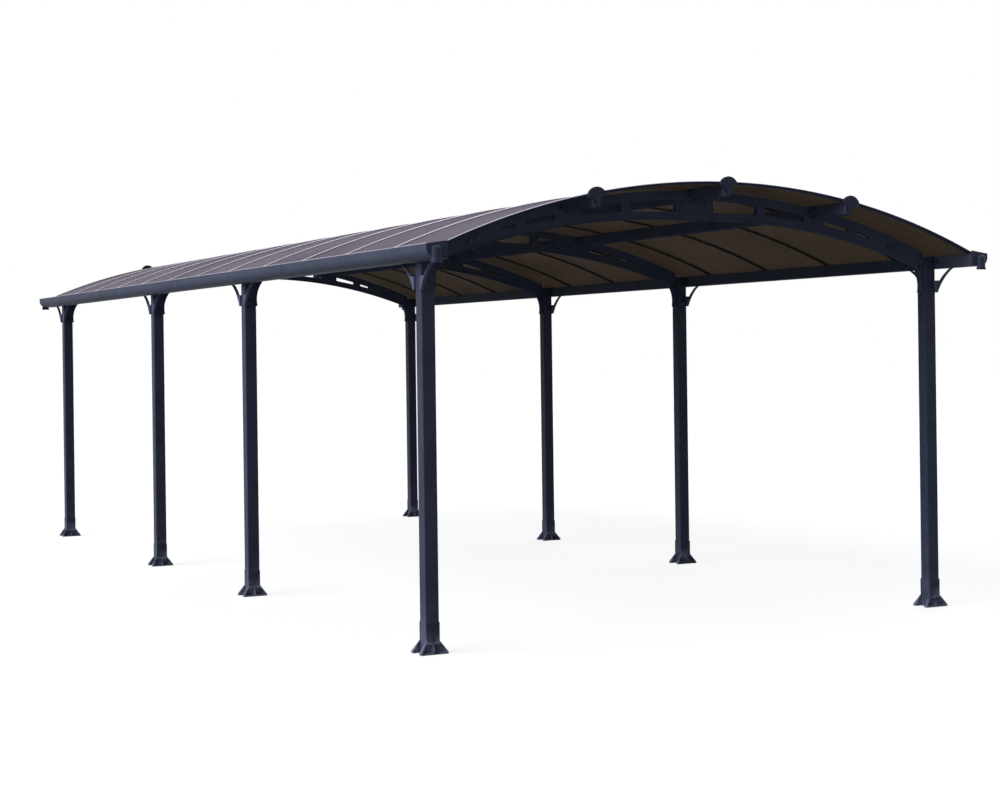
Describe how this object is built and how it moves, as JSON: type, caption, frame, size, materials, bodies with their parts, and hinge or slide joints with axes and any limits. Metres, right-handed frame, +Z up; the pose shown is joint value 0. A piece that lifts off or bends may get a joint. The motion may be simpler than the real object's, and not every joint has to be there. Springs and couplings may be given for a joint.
{
  "type": "open arched carport",
  "caption": "Open carport with square tube posts on cast feet, arched trusses, curved bronze roof sheets on purlins, and gutters along both eaves.",
  "frame": {"origin": "on the ground, midway between the post rows and between the front and back gables", "axes": "+X across to the right seen from the front gable, +Y from the front gable to the back, +Z up"},
  "size_m": [3.505, 8.4978, 2.438],
  "materials": {
    "frame": "satin powder coat",
    "foot": "satin powder coat on casting",
    "bracket": "satin powder coat",
    "gutter": "satin powder coat",
    "trim": "satin powder coat",
    "glazing_bar": "satin",
    "end_cap": "satin moulded",
    "roof_sheet": "gloss, bronze tint"
  },
  "bodies": {
    "root": {"braces_left": "bracket", "braces_right": "bracket", "edge_trim_back": "trim", "edge_trim_front": "trim", "foot_left_1": "foot", "foot_left_2": "foot", "foot_left_3": "foot", "foot_left_4": "foot", "foot_right_1": "foot", "foot_right_2": "foot", "foot_right_3": "foot", "foot_right_4": "foot", "glazing_bars": "glazing_bar", "gussets_left": "bracket", "gussets_right": "bracket", "gutter_caps_left": "end_cap", "gutter_caps_right": "end_cap", "gutter_left": "gutter", "gutter_right": "gutter", "king_plates": "bracket", "post_left_1": "frame", "post_left_2": "frame", "post_left_3": "frame", "post_left_4": "frame", "post_right_1": "frame", "post_right_2": "frame", "post_right_3": "frame", "post_right_4": "frame", "purlin_caps_back": "end_cap", "purlin_caps_front": "end_cap", "purlin_left": "frame", "purlin_ridge": "frame", "purlin_right": "frame", "roof_panels_back": "roof_sheet", "roof_panels_front": "roof_sheet", "roof_panels_middle": "roof_sheet", "truss_left_1": "frame", "truss_left_2": "frame", "truss_left_3": "frame", "truss_left_4": "frame", "truss_right_1": "frame", "truss_right_2": "frame", "truss_right_3": "frame", "truss_right_4": "frame"}
  },
  "joints": []
}
